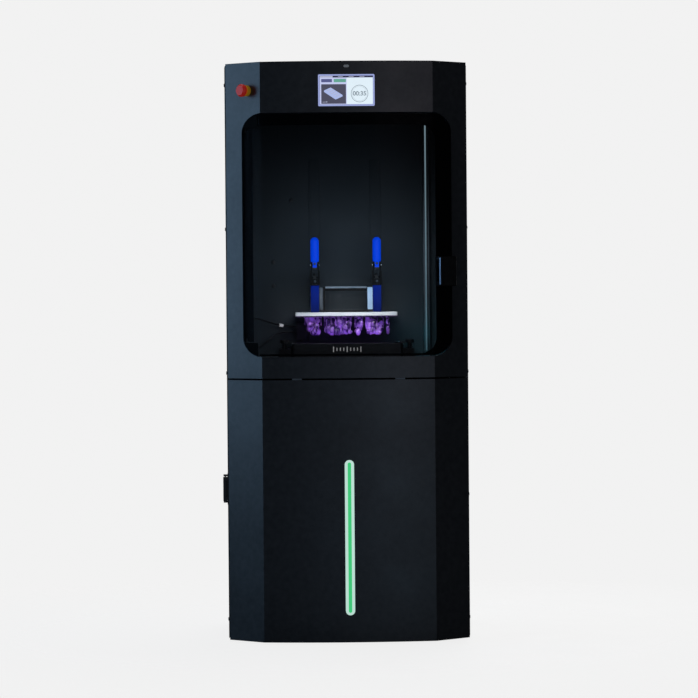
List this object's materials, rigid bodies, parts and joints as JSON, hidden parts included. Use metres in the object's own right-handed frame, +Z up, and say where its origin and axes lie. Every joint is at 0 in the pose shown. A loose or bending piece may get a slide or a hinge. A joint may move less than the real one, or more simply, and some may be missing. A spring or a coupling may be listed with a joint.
{
  "type": "resin printer",
  "caption": "Tall floor-standing resin printer: bowed dark case, smoked hinged window on the print chamber, touch display, emergency stop, lower door with light bar.",
  "frame": {"origin": "middle of the footprint, on the floor", "axes": "+X to the right seen from the front, +Y to the back, +Z up"},
  "size_m": [0.7165, 0.691, 1.676],
  "materials": {
    "shell_paint": "satin blue-black powder coat",
    "panel_paint": "fine-textured dark grey powder coat",
    "frame_steel": "matte black paint",
    "foot_rubber": "matte",
    "bezel_plastic": "gloss",
    "status_plastic": "frosted",
    "stop_yellow": "gloss",
    "stop_steel": "turned",
    "stop_red": "gloss",
    "catch_chrome": "polished",
    "chamber_coat": "matte dark slate",
    "column_aluminium": "anodised",
    "light_white": "diffusing, lit",
    "light_green": "diffusing, lit",
    "rail_steel": "ground",
    "motor_black": "matte",
    "latch_black": "satin",
    "window_smoke": "smoke tint",
    "plate_bright": "bead blasted",
    "hanger_navy": "navy anodised",
    "grip_blue": "dipped vinyl over steel",
    "arm_steel": "blackened zinc",
    "resin_purple": "wet translucent resin",
    "vat_grey": "anodised dark grey",
    "vat_film": "clear release film",
    "guide_black": "satin",
    "lead_black": "satin",
    "mask_glass": "dark screen glass",
    "bottle_white": "satin",
    "box_grey": "satin",
    "inlet_black": "satin"
  },
  "bodies": {
    "case": {"base_plate": "frame_steel", "levelling_feet": "foot_rubber", "frame_tubes": "frame_steel", "left_side_panel": "panel_paint", "right_side_panel": "panel_paint", "rear_panel": "panel_paint", "top_cover": "panel_paint", "upper_front_shell": "shell_paint", "display_bezel": "bezel_plastic", "status_lens": "status_plastic", "estop_collar": "stop_yellow", "hinge_brackets": "frame_steel", "catch_strikers": "catch_chrome", "deck_plate": "chamber_coat", "chamber_ceiling": "chamber_coat", "chamber_left_wall": "chamber_coat", "chamber_right_wall": "chamber_coat", "chamber_back_wall": "chamber_coat", "light_column": "column_aluminium", "light_column_diffuser": "light_white", "z_spine": "column_aluminium", "z_rails": "rail_steel", "z_motor": "motor_black", "vat_guides": "guide_black", "feed_head": "guide_black", "sensor_lead": "lead_black", "resin_tube": "lead_black", "light_engine": "frame_steel", "lcd_mask": "mask_glass", "resin_bottle": "bottle_white", "control_boxes": "box_grey", "rear_fan_frame": "frame_steel", "power_inlet": "inlet_black"},
    "lower_door": {"lower_door": "shell_paint", "light_bar_diffuser": "light_white", "light_bar_core": "light_green", "latch_plate": "latch_black"},
    "latch": {"latch_paddle": "latch_black"},
    "window_door": {"window_pane": "window_smoke", "window_pull": "latch_black"},
    "stop_plunger": {"estop_shaft": "stop_steel"},
    "stop_head": {"estop_head": "stop_red"},
    "carriage": {"z_carriage": "column_aluminium"},
    "left_screw": {"screw_left": "rail_steel"},
    "right_screw": {"screw_right": "rail_steel"},
    "platform": {"build_plate": "plate_bright", "platform_frame": "column_aluminium", "hanger_bars": "hanger_navy", "clamp_bases": "latch_black", "print_job": "resin_purple"},
    "left_lever": {"clamp_lever_left": "grip_blue"},
    "right_lever": {"clamp_lever_right": "grip_blue"},
    "left_arm": {"clamp_arm_left": "arm_steel"},
    "right_arm": {"clamp_arm_right": "arm_steel"},
    "vat": {"vat_frame": "vat_grey", "vat_film": "vat_film"},
    "left_vat_lever": {"vat_lever_left": "guide_black"},
    "right_vat_lever": {"vat_lever_right": "guide_black"},
    "fan": {"rear_fan": "motor_black"},
    "power_rocker": {"power_switch": "inlet_black"}
  },
  "joints": [
    {"name": "window_hinge", "type": "hinge", "parent": "case", "child": "window_door", "pos_m": [-0.291, -0.2802, 1.18], "axis": [0, 0, -1], "range_deg": [0, 110]},
    {"name": "lower_door_hinge", "type": "hinge", "parent": "case", "child": "lower_door", "pos_m": [0.3415, -0.1905, 0.385], "axis": [0, 0, 1], "range_deg": [0, 105]},
    {"name": "latch_paddle_hinge", "type": "hinge", "parent": "lower_door", "child": "latch", "pos_m": [-0.3585, -0.1975, 0.445], "axis": [0, 0, -1], "range_deg": [0, 35], "stiffness_Nm_per_rad": 0.15},
    {"name": "stop_press", "type": "slide", "parent": "case", "child": "stop_plunger", "axis": [0.6606, 0.7507, 0], "range_m": [0, 0.004]},
    {"name": "stop_twist", "type": "hinge", "parent": "stop_plunger", "child": "stop_head", "pos_m": [-0.286, -0.2916, 1.595], "axis": [-0.6606, -0.7507, 0], "range_deg": [0, 45], "stiffness_Nm_per_rad": 0.05},
    {"name": "z_slide", "type": "slide", "parent": "case", "child": "carriage", "axis": [0, 0, 1], "range_m": [-0.058, 0.342]},
    {"name": "left_screw_turn", "type": "hinge", "parent": "case", "child": "left_screw", "pos_m": [-0.055, 0.178, 1.1], "axis": [0, 0, 1], "continuous": true},
    {"name": "right_screw_turn", "type": "hinge", "parent": "case", "child": "right_screw", "pos_m": [0.055, 0.178, 1.1], "axis": [0, 0, 1], "continuous": true},
    {"name": "platform_slide", "type": "slide", "parent": "carriage", "child": "platform", "axis": [0, -1, 0], "range_m": [0, 0.04]},
    {"name": "left_clamp_lever", "type": "hinge", "parent": "platform", "child": "left_lever", "pos_m": [-0.092, -0.02, 1.094], "axis": [1, 0, 0], "range_deg": [0, 95]},
    {"name": "right_clamp_lever", "type": "hinge", "parent": "platform", "child": "right_lever", "pos_m": [0.092, -0.02, 1.094], "axis": [1, 0, 0], "range_deg": [0, 95]},
    {"name": "left_clamp_arm", "type": "hinge", "parent": "platform", "child": "left_arm", "pos_m": [-0.092, 0.002, 1.058], "axis": [1, 0, 0], "range_deg": [0, 85]},
    {"name": "right_clamp_arm", "type": "hinge", "parent": "platform", "child": "right_arm", "pos_m": [0.092, 0.002, 1.058], "axis": [1, 0, 0], "range_deg": [0, 85]},
    {"name": "vat_slide", "type": "slide", "parent": "case", "child": "vat", "axis": [0, -1, 0], "range_m": [0, 0.05]},
    {"name": "left_vat_lever_turn", "type": "hinge", "parent": "case", "child": "left_vat_lever", "pos_m": [-0.184, -0.11, 0.868], "axis": [0, 0, 1], "range_deg": [0, 90]},
    {"name": "right_vat_lever_turn", "type": "hinge", "parent": "case", "child": "right_vat_lever", "pos_m": [0.184, -0.11, 0.868], "axis": [0, 0, -1], "range_deg": [0, 90]},
    {"name": "fan_spin", "type": "hinge", "parent": "case", "child": "fan", "pos_m": [0, 0.327, 1.25], "axis": [0, 1, 0], "continuous": true},
    {"name": "power_rock", "type": "hinge", "parent": "case", "child": "power_rocker", "pos_m": [0.222, 0.338, 0.112], "axis": [1, 0, 0], "range_deg": [0, 14]}
  ],
  "couplings": [
    {"joint": "left_screw_turn", "follows": "z_slide", "rad_per_m": 314.16},
    {"joint": "right_screw_turn", "follows": "z_slide", "rad_per_m": 314.16},
    {"joint": "left_clamp_arm", "follows": "left_clamp_lever", "ratio": 0.894},
    {"joint": "right_clamp_arm", "follows": "right_clamp_lever", "ratio": 0.894}
  ]
}
